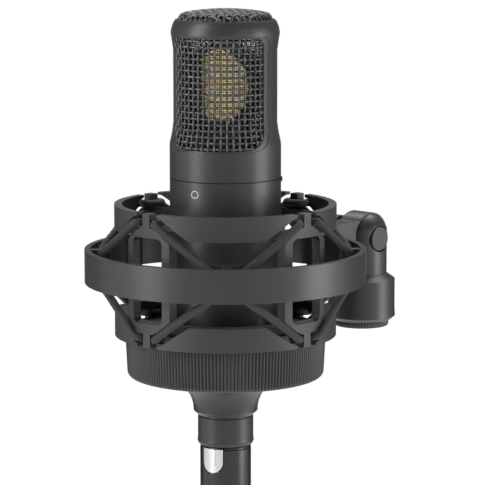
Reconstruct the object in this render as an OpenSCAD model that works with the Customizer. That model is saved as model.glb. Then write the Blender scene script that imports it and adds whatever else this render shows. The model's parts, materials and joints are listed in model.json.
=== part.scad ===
// Side-address condenser microphone in an elastic shock mount, with its stand swivel.
// Millimetres, +Z up. The origin is the mouth of the stand thread, at the bottom of the swivel.
// The microphone stands in front of it, towards -Y. Heights inside the modules are counted from
// the lower rim of the microphone, unless the module belongs to the swivel's thread bush.

/* [Microphone] */
// Outside diameter of the body tube
body_d = 40; // [39:0.1:41]
// Height of the seam between body tube and grille frame
seam_z = 97.1; // [96:0.1:98]
// Height of the grille's apex
apex_z = 158; // [157:0.1:159]
// Wall thickness of the body tube and the grille frame
wall = 1.6; // [1.4:0.1:1.8]
// Angle that the microphone is turned in its cradle
mic_turn = 11.3; // [0:0.1:30]
// Diameter of the visible gold diaphragm
diaphragm_d = 25.7; // [25:0.1:26]
// Height of the capsule's centre
capsule_z = 130.5; // [129:0.5:133]

/* [Shock mount] */
// Outside diameter of the cage
cage_d = 80; // [79.6:0.1:80.4]
// Height of the cage's upper edge
cage_top = 87.8; // [87.6:0.1:88]
// Height of the plane that the cage is symmetric about
cage_mid = 64.05; // [64:0.05:64.1]
// Outside diameter of the outer ring
ring_d = 101.6; // [101:0.1:103]
// Height of the outer ring's lower edge
ring_low = 59.5; // [59.4:0.1:59.6]
// Height of the outer ring's upper edge
ring_high = 71.5; // [71.4:0.1:71.6]
// Diameter of the elastic cords
cord_d = 2.9; // [2.5:0.1:2.9]

/* [Swivel] */
// Distance from the microphone's axis to the stand's axis
reach = 74.6; // [74:0.1:76]
// Height of the tilt pivot
pivot_z = 67.6; // [67.4:0.1:67.8]
// Radius of the fork and of the tongue between its cheeks
knuckle_r = 9.66; // [9.5:0.02:9.8]
// Radius of the stand socket
socket_r = 12.8; // [12.5:0.1:13]
// Greatest downward tilt that the fork leaves room for
tilt_down = 15; // [5:1:15]

/* [Connector] */
// Radius of the cable connector's shell
plug_r = 9.3; // [9.1:0.1:9.4]
// Length of the cable connector below the microphone's rim
plug_len = 50; // [48:1:55]

/* [Hidden] */
$fn = 96;

anthracite = [0.17, 0.17, 0.18];
soft_black = [0.08, 0.08, 0.09];
silver = [0.78, 0.78, 0.80];
brass = [0.80, 0.64, 0.30];
board_green = [0.10, 0.30, 0.18];

eps = 0.01;              // overshoot of a cutting tool
through = 60;            // a length that passes right through any piece
drop = 33.7;             // height of the stand thread's mouth above the microphone's lower rim
fit = 0.05;              // radial clearance of a running fit
gap = 0.3;               // clearance between pieces that move past each other

body_r = body_d / 2;
cage_r = cage_d / 2;
ring_r = ring_d / 2;
cord_r = cord_d / 2;

// Cage
band_wall = 2.8;         // wall of the bands
post_wall = 3.5;         // depth of the posts
band_h = 8.6;            // height of the upper band
cage_low = 2 * cage_mid - cage_top;
tab_w = 3.5;             // width of the tab between two cord slots
tab_root = 2.86;         // half-width of the slot's floor
slot_floor = 82.9;       // height of the slot's floor
shoulder = [5.64, 81.4]; // corner between the slot's floor and the slope
post_half = 10.2;        // half-width of a post
post_corner = 77.8;      // height at which a post reaches its full width
window_half = 7.1;       // half-width of a post's window
window_high = 79.3;      // upper edge of a post's window
window_round = 2.2;      // radius of the window's corners
mouth_half = 4.9;        // half-width between the lips of two bands
lip_h = 1.1;             // height of those lips
lip_back = 6.6;          // half-width behind the lips
band_foot = 17.2;        // half-width between the feet of two bands
hub_r = 32;              // outside radius of the threaded hub
hub_wall = 2.5;
hub_low = 27.5;
web_low = 40;            // underside of the floor between hub and lower band
web_high = 41.8;
collet_r = 23.2;         // outside radius of the collet
liner_r = 21;            // outside radius of the liner

// Lock ring
lock_low = 25.1;
lock_high = 39.7;
lock_r_high = 36.2;      // outside radius at its upper edge
lock_r_low = 35.6;       // outside radius near its lower edge
lock_round = 2;          // radius of the lower edge
lock_floor = 2.1;

// Outer ring and hooks
ring_wall = 2.2;
hook_r = 42.8;           // outside radius of a hook's head
hook_high = 72;
hook_wall = 1.2;
hook_w = 12.8;           // width of a hook's head
peg_w = 3.2;             // width of a hook's pegs
peg_h = 1.7;             // height of a hook's upper peg
low_peg_h = 1.1;         // height of its lower peg
arm_half = 4.7;          // half-width of the arm and tongue
arm_top = 74.5;
arm_root = 4;            // how far the arm's slope runs out from the ring
pin_r = 2.5;             // radius of the pivot screw's shank
bush_r = 3.6;            // outside radius of the pivot bush
washer_r = 7;
washer_t = 0.6;
slot_half = 5;           // half-width of the fork's slot

// Cord route from behind a tab to the tip under a hook, in one post's own axes:
// [sideways, outward, share of the height from slot to tip], and the loop's mirror of it.
cord_route = [
    [0, 35, 0], [2, 35.1, 0], [3.3, 36.2, 0], [3.6, 38.4, 0], [4.2, 40, 0], [6, 40.5, 0.04],
    [12.7, 39.2, 0.3], [20.3, 37.6, 0.57], [26.4, 36.2, 0.78], [29.3, 34.3, 0.92], [31.9, 31.9, 1]
];
upper_slot_z = 84.4;
upper_tip_z = 66.9;
lower_slot_z = 43.7;
lower_tip_z = 63.6;
cord_sides = 8;

// Swivel
fork_floor = pivot_z - knuckle_r - 0.45;
post_low = 51.7;
post_high = 53.9;
head_round = 10.25;      // radius that rounds the fork's head
head_bend = acos(knuckle_r / head_round);
socket_low = 36.1;
socket_chamfer = 1.4;
bush_flange_r = 10.5;
bush_thread_r = 7.9;     // 5/8 inch thread, major radius
stand_thread_r = 3.97;   // 3/8 inch thread, minor radius
bush_high = 48;
socket_depth = 49;
head_r = 4.6;            // pivot screw's head
head_x = 7.6;
head_t = 1.8;
knob_r = 7.2;
knob_x = 10.1;
knob_t = 7;
knob_grips = 12;

// Body tube and connector end
neck_r = 11.7;           // radius where the cove ends
neck_z = 12.2;
cove_z = 23.5;           // height where the cove meets the tube
cove_r = 11.5;
cove_centre = [23.2, 12.45];
shell_r = 10.1;
shell_top = 10.4;
shell_bore = 8.9;
insert_low = 10;
insert_high = 16;
insert_r = 8.7;
pin_circle = 4.2;
xlr_pin_r = 1.2;
pocket_low = 88;
pocket_high = 95.6;
pocket_half = 8;
pocket_depth = 0.7;
slider_x = 4.05;         // place of each slider, either side of the back
slider_z = 91.8;
slider_w = 2.2;
slider_h = 2;
slider_travel = 2;

// Grille frame: outside outline from the collar up to the rim, as radius and height
frame_outline = [
    [20, 109.2], [19.84, 110.3], [19.08, 113.9], [18.6, 117.3], [18.6, 142.9], [19.05, 146.3],
    [19.5, 148.9], [19.4, 150], [19.03, 151.4], [18.47, 152.8], [17.8, 153.8]
];
rim_z = 153.8;
rim_bore = 17.2;
seam_groove = 0.5;       // depth of the groove along the seam
seam_gap = 0.35;         // height of that groove
window_turn = 19.2;      // angle between the front and the middle of a window
window_low_z = 108.4;
window_top_z = 147.8;
window_round_low = [8.5, 9];
window_round_top = [4, 4.5];
side_post = 8.7;         // half-width of the posts between the windows
lip_side = 2.2;          // width of the shallow step beside a window
lip_end = 0.5;           // width of that step above and below a window
lip_depth = 0.25;
mesh_in = 0.15;          // from the frame's outside to the mesh
mesh_t = 0.8;
fine_r = 16.9;
fine_t = 0.3;
cap_curve = 83;          // radius of the top mesh's dome
cap_r = 17.1;            // radius of its edge
cap_round = 2;           // radius of the bend at its edge
cap_low = 153;
cap_t = 0.6;
pip_turn = 122.7;        // angle between the front and each grille screw
pip_z = 96.6;
pip_r = 1.1;

// Capsule
capsule_r = 14.5;
plate_half = 3.6;        // half the backplate's thickness
film_t = 0.3;
clamp_t = 1.5;
screw_circle = 13.7;
screw_count = 8;
deck_low = 99;
deck_high = 101.5;
isolator_high = 104.5;

// Chassis
rail_x = 15;
rail_w = 3;
rail_d = 5;
plate_low = 25;
plate_high = 27;
board_t = 1.6;

// Connector
nose_r = 8.7;
latch_half = 26.5;       // half the latch's angle
latch_low = -9.8;
latch_high = -1;
latch_t = 1;
cable_r = 3;
grip_r = 3;              // bore of the chuck, which closes on the cable

function arc(cx, cy, r, from, to, n = 8) =
    [for (i = [0:n]) [cx + r * cos(from + (to - from) * i / n), cy + r * sin(from + (to - from) * i / n)]];
function reversed(list) = [for (i = [len(list) - 1:-1:0]) list[i]];
function flip_x(list) = reversed([for (p = list) [-p.x, p.y]]);
function flip_z(list, mid) = reversed([for (p = list) [p.x, 2 * mid - p.y]]);
function unit(v) = v / norm(v);

module at_cradle() { translate([0, -reach, -drop]) children(); }
module at_mic() { at_cradle() rotate(mic_turn) children(); }
module at_pivot() { translate([0, 0, pivot_z - drop]) children(); }

module disc(r, low, high) { translate([0, 0, low]) cylinder(h = high - low, r = r); }
module tube(r, bore, low, high) {
    difference() {
        disc(r, low, high);
        disc(bore, low - 1, high + 1);
    }
}
module revolve(points) { rotate_extrude() polygon(points); }
module around(n, first = 0) { for (i = [0:n - 1]) rotate(first + i * 360 / n) children(); }
// Puts a flat outline upright and pushes it out towards -Y.
module outward(from, to) { translate([0, -from, 0]) rotate([90, 0, 0]) linear_extrude(to - from) children(); }
// A cylinder along X.
module bar_x(r, from, to) { translate([from, 0, 0]) rotate([0, 90, 0]) cylinder(h = to - from, r = r); }
module rounded_window(half, low, high, r) {
    translate([-half + r, low]) square([2 * (half - r), high - low]);
    translate([-half, low + r]) square([2 * half, high - low - 2 * r]);
    for (x = [-half + r, half - r], z = [low + r, high - r]) translate([x, z]) circle(r);
}

// ---- Swivel ----
module stand_socket() {
    color(anthracite) difference() {
        union() {
            translate([0, 0, -drop]) revolve([
                [0, socket_low], [socket_r - socket_chamfer, socket_low],
                [socket_r + 0.2, socket_low + socket_chamfer], [socket_r, socket_low + 5],
                [socket_r, post_low], [knuckle_r, post_high], [0, post_high]
            ]);
            intersection() {
                translate([0, 0, -drop]) revolve(concat(
                    [[0, post_low], [knuckle_r, post_low]],
                    arc(0, pivot_z, head_round, head_bend, 70, 5), [[0, pivot_z + knuckle_r]]
                ));
                at_pivot() union() {
                    bar_x(knuckle_r, -knuckle_r, knuckle_r);
                    translate([-knuckle_r, -knuckle_r, -through]) cube([2 * knuckle_r, 2 * knuckle_r, through]);
                }
            }
        }
        translate([0, 0, -drop]) fork_slot();
        at_pivot() bar_x(pin_r + fit / 2, -through, through);
        at_pivot() bar_x(head_r + 0.4, head_x, through);
        translate([0, 0, -drop]) disc(bush_thread_r + fit / 2, 0, socket_depth);
    }
}
module fork_slot() {
    drop_y = knuckle_r + 2;
    rotate([90, 0, 90]) translate([0, 0, -slot_half]) linear_extrude(2 * slot_half) polygon([
        [drop_y, fork_floor], [drop_y, pivot_z + through], [-drop_y, pivot_z + through],
        [-drop_y, fork_floor - (drop_y + 3) * tan(tilt_down)], [3, fork_floor]
    ]);
}
module thread_bush() {
    color(soft_black) translate([0, 0, -drop]) difference() {
        union() {
            disc(bush_flange_r, drop, socket_low - eps);
            disc(bush_thread_r, drop, bush_high);
        }
        disc(stand_thread_r, 0, through);
    }
}
module pivot_screw() {
    color(anthracite) at_pivot() {
        bar_x(pin_r, -knob_x - knob_t + 1.8, head_x + eps);
        bar_x(head_r, head_x, head_x + head_t);
    }
}
module knob_washer() {
    color(silver) at_pivot() difference() {
        bar_x(washer_r - 1, -knob_x + 0.1, -knuckle_r - 0.02);
        bar_x(pin_r + fit, -through, through);
    }
}
module tilt_knob() {
    color(soft_black) at_pivot() difference() {
        bar_x(knob_r, -knob_x - knob_t, -knob_x);
        bar_x(bush_r + 0.4, -knob_x - knob_t + 1.5, -knob_x + 1);
        for (i = [0:knob_grips - 1]) rotate([i * 360 / knob_grips, 0, 0])
            translate([0, 0, knob_r + 0.6]) bar_x(1.2, -through, -knob_x - 1.2);
    }
}
module knob_insert() {
    color(brass) at_pivot() difference() {
        bar_x(bush_r + 0.38, -knob_x - knob_t + 1.52, -knob_x);
        bar_x(pin_r + fit, -knob_x - knob_t + 1.6, 0);
    }
}

// ---- Outer ring ----
module outer_ring() {
    foot = ring_r - ring_wall;
    color(anthracite) difference() {
        union() {
            at_cradle() tube(ring_r, foot, ring_low, ring_high);
            difference() {
                rotate([90, 0, 90]) translate([0, -drop, -arm_half]) linear_extrude(2 * arm_half) union() {
                    polygon([
                        [foot + 1 - reach, ring_low + 0.4], [foot + 1 - reach, ring_high - 0.4],
                        [ring_r + arm_root - reach, arm_top], [0, arm_top], [0, pivot_z - knuckle_r]
                    ]);
                    translate([0, pivot_z]) circle(knuckle_r);
                }
                at_cradle() disc(foot + 0.5, 0, through * 2);
            }
        }
        at_pivot() bar_x(bush_r, -through, through);
        at_pivot() for (side = [0, 1]) mirror([side, 0, 0]) bar_x(washer_r + 0.1, arm_half - 0.4, through);
    }
}
module hook_block(w, from, to, low, high) {
    translate([-w / 2, -to, low]) cube([w, to - from, high - low]);
}
module cord_hooks() {
    color(anthracite) at_cradle() around(4, 45) {
        intersection() {
            hook_block(hook_w, hook_r - 3, hook_r + 1, ring_low + 0.1, hook_high);
            tube(hook_r, hook_r - hook_wall, ring_low, hook_high + 1);
        }
        intersection() {
            union() {
                hook_block(peg_w, hook_r - 1, ring_r, ring_high - 0.4 - peg_h, ring_high - 0.4);
                hook_block(peg_w, hook_r - 1, ring_r, ring_low + 0.4, ring_low + 0.4 + low_peg_h);
            }
            tube(ring_r - ring_wall, hook_r - 0.5, ring_low, ring_high);
        }
    }
}
module pivot_bush() {
    color(brass) at_pivot() difference() {
        bar_x(bush_r - 0.01, -arm_half + 0.42, arm_half - 0.42);
        bar_x(pin_r + fit, -through, through);
    }
}
module friction_washers() {
    color(soft_black) at_pivot() for (side = [0, 1]) mirror([side, 0, 0]) difference() {
        bar_x(washer_r, arm_half - 0.4, arm_half - 0.4 + washer_t);
        bar_x(pin_r + fit, 0, through);
    }
}

// ---- Cage ----
module band_gaps() {
    half = [
        [mouth_half, cage_top + 4], [mouth_half, cage_top - lip_h], [lip_back, cage_top - lip_h - 0.3],
        [band_foot, cage_top - band_h], [band_foot, cage_top - band_h - 1]
    ];
    for (flat = [concat(half, flip_x(half)), flip_z(concat(half, flip_x(half)), cage_mid)])
        outward(30, 50) polygon(flat);
}
module post_outline() {
    quarter = [
        [tab_w / 2, cage_top], [tab_w / 2, slot_floor], [tab_root, slot_floor], shoulder,
        [post_half, post_corner]
    ];
    side = concat(quarter, flip_z(quarter, cage_mid));
    difference() {
        polygon(concat(side, flip_x(side)));
        rounded_window(window_half, 2 * cage_mid - window_high, window_high, window_round);
    }
}
module cage() {
    band_r = cage_r - band_wall;
    color(anthracite) at_cradle() {
        difference() {
            union() {
                for (low = [cage_low, cage_top - band_h]) tube(cage_r, band_r, low, low + band_h);
            }
            around(4) band_gaps();
        }
        intersection() {
            around(4) outward(30, 50) post_outline();
            tube(cage_r, cage_r - post_wall, cage_low, cage_top);
        }
        // Hoops behind the cords tie the bands and the posts together.
        for (low = [cage_top - band_h, cage_low + band_h - 3]) tube(band_r + 0.3, band_r - 2.2, low, low + 3);
        tube(band_r + 0.3, collet_r + 0.02, web_low, web_high);
        tube(hub_r, hub_r - hub_wall, hub_low, web_low + eps);
    }
}
module collet() {
    finger_slots = 8;
    color(soft_black) at_cradle() difference() {
        union() {
            tube(collet_r, liner_r + 0.02, lock_low + 0.9, web_high + 1.5);
            tube(collet_r + 2, collet_r - 1, web_high + eps, web_high + 1.5);
        }
        around(finger_slots) translate([-0.6, 15, 0]) cube([1.2, 20, web_low - 1]);
    }
}
module collet_liner() {
    color(soft_black) at_cradle() tube(liner_r, body_r + fit, lock_low + 1.2, web_high + 1.5);
}
function loop_points(slot_z, tip_z) = let (
    half = [for (p = cord_route) [p.x, -p.y, slot_z + p.z * (tip_z - slot_z)]],
    back = [for (i = [len(half) - 1:-1:1]) [-half[i].x, half[i].y, half[i].z]],
    quarter = concat([for (i = [1:len(back) - 1]) back[i]], half)
) [for (k = [0:3], p = quarter)
    [p.x * cos(90 * k) - p.y * sin(90 * k), p.x * sin(90 * k) + p.y * cos(90 * k), p.z]];
function loop_ring(points, i) = let (
    n = len(points),
    along = unit(points[(i + 1) % n] - points[(i + n - 1) % n]),
    side = unit(cross(along, [0, 0, 1])),
    up = cross(side, along)
) [for (k = [0:cord_sides - 1])
    points[i] + cord_r * (cos(k * 360 / cord_sides) * side + sin(k * 360 / cord_sides) * up)];
module cord_loop(slot_z, tip_z) {
    points = loop_points(slot_z, tip_z);
    n = len(points);
    m = cord_sides;
    polyhedron(
        [for (i = [0:n - 1]) each loop_ring(points, i)],
        [for (i = [0:n - 1], k = [0:m - 1])
            [i * m + k, ((i + 1) % n) * m + k, ((i + 1) % n) * m + (k + 1) % m, i * m + (k + 1) % m]]
    );
}
module upper_cord() { color(soft_black) at_cradle() cord_loop(upper_slot_z, upper_tip_z); }
module lower_cord() { color(soft_black) at_cradle() cord_loop(lower_slot_z, lower_tip_z); }
module lock_ring() {
    color(soft_black) at_cradle() revolve(concat(
        [[hub_r + gap, lock_high], [lock_r_high, lock_high]],
        arc(lock_r_low - lock_round, lock_low + lock_round, lock_round, 0, -90),
        [[collet_r + 1.3, lock_low], [collet_r + 1.3, lock_low + lock_floor], [hub_r + gap, lock_low + lock_floor]]
    ));
}

// ---- Microphone body ----
module body_tube() {
    inner = body_r - wall;
    color(anthracite) at_mic() difference() {
        rotate_extrude() difference() {
            polygon([
                [0, shell_top + 0.4], [shell_r + 0.2, shell_top + 0.4], [neck_r, neck_z], [body_r, neck_z],
                [body_r, seam_z], [0, seam_z]
            ]);
            translate(cove_centre) circle(cove_r);
            translate([neck_r, neck_z - 2]) square([20, 2.2]);
        }
        disc(inner, plate_low - 0.5, through * 2);
        disc(insert_r + 0.02, 0, through);
        intersection() {
            tube(body_r + 1, body_r - pocket_depth, pocket_low, pocket_high);
            translate([-pocket_half, 0, 0]) cube([2 * pocket_half, body_d, 2 * through]);
        }
        for (x = [-slider_x, slider_x])
            translate([x - slider_w / 2 - slider_travel / 2 - gap, 0, slider_z - slider_h / 2 - gap])
                cube([slider_w + slider_travel + 2 * gap, body_d, slider_h + 2 * gap]);
        pip_holes();
        at_pips() outward(body_r - 0.5, body_r + 2) translate([-pip_r, pip_z - 2.3]) square([2 * pip_r, 1.2]);
    }
}
module xlr_shell() {
    color(anthracite) at_mic() difference() {
        revolve([
            [shell_bore, 0], [shell_r - 0.3, 0], [shell_r + 0.15, 0.9], [shell_r + 0.15, 1.7], [shell_r, 2.2],
            [shell_r, shell_top - 0.4], [shell_r - 0.4, shell_top], [shell_r - 0.4, shell_top + 0.39],
            [shell_bore, shell_top + 0.39]
        ]);
        translate([0, shell_r - 3, 7]) rotate([-90, 0, 0]) cylinder(h = 5, r = 1);
    }
}
module shell_screw() {
    color(silver) at_mic() translate([0, insert_r + 0.02, 7]) rotate([-90, 0, 0]) cylinder(h = 1.2, r = 0.98);
}
module xlr_insert() {
    color(soft_black) at_mic() difference() {
        disc(insert_r, insert_low, insert_high);
        three_pins() disc(xlr_pin_r + 0.01, 0, through);
    }
}
module three_pins() { around(3, 60) translate([0, pin_circle, 0]) children(); }
module xlr_pins() {
    color(silver) at_mic() three_pins() {
        disc(xlr_pin_r, 1.8, insert_high + 2);
        translate([0, 0, 1.8]) sphere(xlr_pin_r);
    }
}
// The space inside the frame's outside outline, less an inset.
module grille_outline(inset) {
    revolve(concat(
        [[0, seam_z - 1], [body_r - inset, seam_z - 1]], [for (p = frame_outline) [p.x - inset, p.y]], [[0, rim_z]]
    ));
}
function oval(cx, cy, r, from, to) =
    [for (i = [0:8]) let (a = from + (to - from) * i / 8) [cx + r.x * cos(a), cy + r.y * sin(a)]];
// A window's outline from its edge outwards, grown at its side and at its ends.
module window_outline(side, ends) {
    low = window_low_z - ends;
    high = window_top_z + ends;
    near = side_post - side;
    a = window_round_low;
    b = window_round_top;
    polygon(concat(
        [[body_d, low], [body_d, high]], oval(near + b.x, high - b.y, b, 90, 180), oval(near + a.x, low + a.y, a, 180, 270)
    ));
}
module window_cut(side, ends) {
    rotate(window_turn) for (turn = [0, 180]) rotate([90, 0, 90 + turn])
        translate([0, 0, -body_r - 1]) linear_extrude(body_d + 2) window_outline(side, ends);
}
module at_pips() { for (side = [-1, 1]) rotate(side * pip_turn) children(); }
module pip_holes() { at_pips() outward(body_r - 3, body_r + 2) translate([0, pip_z]) circle(pip_r + 0.02); }
module grille_frame() {
    color(anthracite) at_mic() difference() {
        grille_outline(0);
        disc(body_d, 0, seam_z);
        tube(body_r + 1, body_r - seam_groove, seam_z - 1, seam_z + seam_gap);
        difference() {
            window_cut(lip_side, lip_end);
            grille_outline(lip_depth);
        }
        window_cut(0, 0);
        pip_holes();
        revolve(concat(
            [[0, seam_z - 2], [body_r - wall, seam_z - 2]],
            [for (p = frame_outline) if (p.y < 150.5) [p.x - wall, p.y]],
            [[rim_bore, 151.4], [rim_bore, rim_z + 1], [0, rim_z + 1]]
        ));
    }
}
module grille_screws() {
    color(soft_black) at_mic() at_pips() {
        outward(body_r - 1.4, body_r + 0.2) translate([0, pip_z]) circle(pip_r);
        outward(body_r + 0.2 - eps, body_r + 0.45) translate([0, pip_z]) circle(pip_r - 0.3);
    }
}
// Panels of cloth that fill the windows, following the frame's outline.
module window_mesh() {
    color(soft_black) at_mic() intersection() {
        difference() {
            grille_outline(mesh_in);
            grille_outline(mesh_in + mesh_t);
            disc(body_d, 0, window_low_z - 1);
        }
        window_cut(-0.05, -0.05);
    }
}
function bend(r, edge, round) = r <= edge - round ? 0 : round - sqrt(max(round * round - pow(r - edge + round, 2), 0));
function cap_side(edge, round, top) = [
    for (k = [0:12]) let (r = k < 6 ? (edge - round) * k / 6 : edge - round + round * sin((k - 6) * 15))
        [r, top - cap_curve + sqrt(cap_curve * cap_curve - r * r) - bend(r, edge, round)]
];
module top_mesh() {
    top = apex_z - 0.35;
    color(soft_black) at_mic() revolve(concat(
        cap_side(cap_r, cap_round, top), [[cap_r, cap_low], [cap_r - cap_t, cap_low]],
        reversed(cap_side(cap_r - cap_t, cap_round - cap_t, top - cap_t))
    ));
}
module mesh_ring() { color(silver) at_mic() tube(rim_bore - 0.02, rim_bore - 1, 151.7, 152.9); }
module inner_mesh() {
    color(soft_black) at_mic() {
        tube(fine_r, fine_r - fine_t, 103, 151.3);
        disc(fine_r, 151.3 - eps, 151.6);
    }
}

// ---- Capsule ----
module at_capsule() { at_mic() translate([0, 0, capsule_z]) rotate([90, 0, 0]) children(); }
module film(side) {
    color(brass) at_capsule() mirror([0, 0, side]) disc(capsule_r - 0.1, plate_half, plate_half + film_t);
}
module clamp_ring(side) {
    color(anthracite) at_capsule() mirror([0, 0, side])
        tube(capsule_r, diaphragm_d / 2, plate_half + film_t, plate_half + film_t + clamp_t);
}
module front_diaphragm() { film(0); }
module rear_diaphragm() { film(1); }
module front_clamp_ring() { clamp_ring(0); }
module rear_clamp_ring() { clamp_ring(1); }
module capsule_backplate() { color(brass) at_capsule() disc(capsule_r, -plate_half, plate_half); }
module capsule_screws() {
    top = plate_half + film_t + clamp_t;
    color(silver) at_capsule() for (side = [0, 1]) mirror([0, 0, side]) around(screw_count, 22.5)
        translate([screw_circle, 0, 0]) disc(0.5, top, top + 0.4);
}
module capsule_saddle() {
    color(soft_black) difference() {
        at_mic() union() {
            translate([-9, -3, isolator_high]) cube([18, 6, 14]);
            disc(8.5, isolator_high, isolator_high + 2);
        }
        at_capsule() disc(capsule_r + 0.01, -through, through);
    }
}
module capsule_isolator() { color(soft_black) at_mic() disc(8, deck_high, isolator_high); }
module capsule_deck() { color(silver) at_mic() disc(body_r - wall - 0.2, deck_low, deck_high); }

// ---- Chassis ----
module at_rails() { for (side = [0, 1]) mirror([side, 0, 0]) translate([rail_x, 0, 0]) children(); }
module chassis_rails() {
    color(silver) at_mic() at_rails()
        translate([-rail_w / 2, -rail_d / 2, plate_high]) cube([rail_w, rail_d, deck_low - plate_high]);
}
module deck_screws() { color(silver) at_mic() at_rails() disc(1.4, deck_high, deck_high + 1.2); }
module base_plate() { color(silver) at_mic() tube(body_r - wall - 0.2, 9.5, plate_low, plate_high); }
module amp_board() {
    color(board_green) at_mic() translate([-13.4, -board_t / 2, 34]) cube([26.8, board_t, 58]);
}
module amp_capacitors() {
    color(soft_black) at_mic() for (place = [[-7, 40], [0, 40], [7, 40], [-5, 58], [5, 58]])
        translate([place.x, -board_t / 2 - 9, place.y]) rotate([-90, 0, 0]) cylinder(h = 9, r = 3.1);
}
module amp_transistors() {
    color(soft_black) at_mic() for (x = [-8, 0, 8], z = [46, 62, 78])
        translate([x - 2.2, board_t / 2, z]) cube([4.4, 2.6, 4.6]);
}
module line_driver_board() {
    color(board_green) at_mic() difference() {
        disc(12, 29, 29 + board_t);
        disc(4, 0, through);
    }
}
module switch_board() { color(board_green) at_mic() translate([-8, 14.2, 86]) cube([16, 1.2, 10.5]); }
module slide_switches() {
    color(silver) at_mic() for (x = [-slider_x, slider_x])
        translate([x - 2.8, 15.4, slider_z - 2.2]) cube([5.6, 1.4, 4.4]);
}
// A slider rests at the left end of its slot, as seen from behind.
module slider(x) {
    color(soft_black) at_mic() translate([x + slider_travel / 2 - slider_w / 2, 16.9, slider_z - slider_h / 2])
        cube([slider_w, 2.9, slider_h]);
}
module pad_slider() { slider(-slider_x); }
module low_cut_slider() { slider(slider_x); }

// ---- Cable connector ----
module latch_sector(grow, low, high) {
    half = plug_r * sin(latch_half) + grow;
    outward(0, plug_r + 1) union() {
        translate([-half, low + half]) square([2 * half, high - low - half]);
        translate([0, low + half]) circle(half);
    }
}
module connector_shell() {
    color(anthracite) at_mic() difference() {
        union() {
            revolve([
                [7.9, -36], [plug_r - 0.4, -36], [plug_r, -35.4], [plug_r, -1.5], [plug_r - 0.35, -1.2],
                [plug_r - 0.35, -0.8], [plug_r, -0.6], [plug_r - 0.2, -gap], [7.9, -gap]
            ]);
            tube(nose_r, 7.9, -gap - eps, 9.4);
        }
        intersection() {
            latch_sector(0.35, latch_low - 0.35, latch_high + 0.35);
            tube(plug_r + 1, 5, latch_low - 1, latch_high + 1);
        }
    }
}
module latch_tab() {
    color(silver) at_mic() {
        intersection() {
            latch_sector(0, latch_low, latch_high);
            tube(plug_r, plug_r - latch_t, latch_low, latch_high);
        }
        intersection() {
            translate([0.6, -plug_r - 0.3, latch_low + 2.5]) cube([1, 2, latch_high - latch_low - 2.5]);
            tube(plug_r + 0.25, plug_r - latch_t, latch_low, latch_high);
        }
    }
}
module latch_spring() {
    color(silver) at_mic() intersection() {
        translate([-1.5, -7.4, latch_low]) cube([3, 0.4, latch_high - latch_low]);
        disc(7.8, latch_low, latch_high);
    }
}
module connector_insert() {
    color(soft_black) at_mic() difference() {
        disc(7.88, -14, 9.2);
        translate([-8, -10, -13]) cube([16, 3.5, 13]);
        three_pins() disc(xlr_pin_r + gap / 2, -2, through);
        three_pins() disc(1.11, -through, 0);
    }
}
module connector_contacts() { color(brass) at_mic() three_pins() disc(1.1, -19, -2.2); }
module cable_chuck() {
    color(soft_black) at_mic() difference() {
        revolve([[grip_r, -37], [6, -37], [7.6, -33], [7.6, -24], [grip_r, -24]]);
        around(4, 45) translate([-0.5, 0, -32]) cube([1, through, through]);
    }
}
module connector_boot() {
    color(soft_black) at_mic() revolve([
        [cable_r, -plug_len], [5.2, -plug_len], [6, -plug_len + 1.2], [7.6, -39.5], [plug_r - 0.4, -38.6],
        [plug_r - 0.4, -36.01], [7.2, -36.01], [7.2, -37.2], [cable_r, -37.2]
    ]);
}

stand_socket();
thread_bush();
pivot_screw();
knob_washer();
tilt_knob();
knob_insert();
outer_ring();
cord_hooks();
pivot_bush();
friction_washers();
cage();
collet();
collet_liner();
upper_cord();
lower_cord();
lock_ring();
body_tube();
xlr_shell();
xlr_insert();
xlr_pins();
shell_screw();
grille_frame();
grille_screws();
window_mesh();
top_mesh();
mesh_ring();
inner_mesh();
front_diaphragm();
rear_diaphragm();
capsule_backplate();
front_clamp_ring();
rear_clamp_ring();
capsule_screws();
capsule_saddle();
capsule_isolator();
capsule_deck();
deck_screws();
chassis_rails();
base_plate();
amp_board();
amp_capacitors();
amp_transistors();
line_driver_board();
switch_board();
slide_switches();
pad_slider();
low_cut_slider();
connector_shell();
connector_insert();
connector_contacts();
latch_spring();
latch_tab();
cable_chuck();
connector_boot();
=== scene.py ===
import bpy
import json
from math import cos, floor, pi, radians, sin, tau
from mathutils import Matrix, Vector


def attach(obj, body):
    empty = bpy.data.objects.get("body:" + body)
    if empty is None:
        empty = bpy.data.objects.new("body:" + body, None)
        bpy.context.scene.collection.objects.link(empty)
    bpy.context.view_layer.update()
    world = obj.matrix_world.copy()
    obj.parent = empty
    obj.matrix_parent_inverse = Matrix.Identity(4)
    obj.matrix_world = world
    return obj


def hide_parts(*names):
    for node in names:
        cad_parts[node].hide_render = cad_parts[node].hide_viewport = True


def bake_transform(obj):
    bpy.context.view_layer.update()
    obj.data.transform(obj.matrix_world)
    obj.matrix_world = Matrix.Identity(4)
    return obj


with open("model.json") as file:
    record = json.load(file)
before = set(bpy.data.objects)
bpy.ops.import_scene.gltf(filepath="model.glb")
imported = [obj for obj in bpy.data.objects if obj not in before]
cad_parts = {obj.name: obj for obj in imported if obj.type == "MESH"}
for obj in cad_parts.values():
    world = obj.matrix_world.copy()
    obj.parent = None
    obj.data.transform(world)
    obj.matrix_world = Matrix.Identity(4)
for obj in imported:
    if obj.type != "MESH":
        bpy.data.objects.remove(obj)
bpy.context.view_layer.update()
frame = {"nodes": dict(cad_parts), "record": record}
nodes = frame["nodes"]
slotOf = {part["node"]: part["material_slot"] for part in frame["record"]["subparts"]}
mm = 0.001
# Where the microphone stands: its axis in front of the stand thread, its lower rim below the thread's mouth,
# and the angle its front is turned to. Heights in this script are counted from that rim, in millimetres.
layout = {"reach": 74.6, "drop": 33.7, "turn": 11.3}
print("stage 1: frame loaded,", len(nodes), "nodes")


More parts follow.
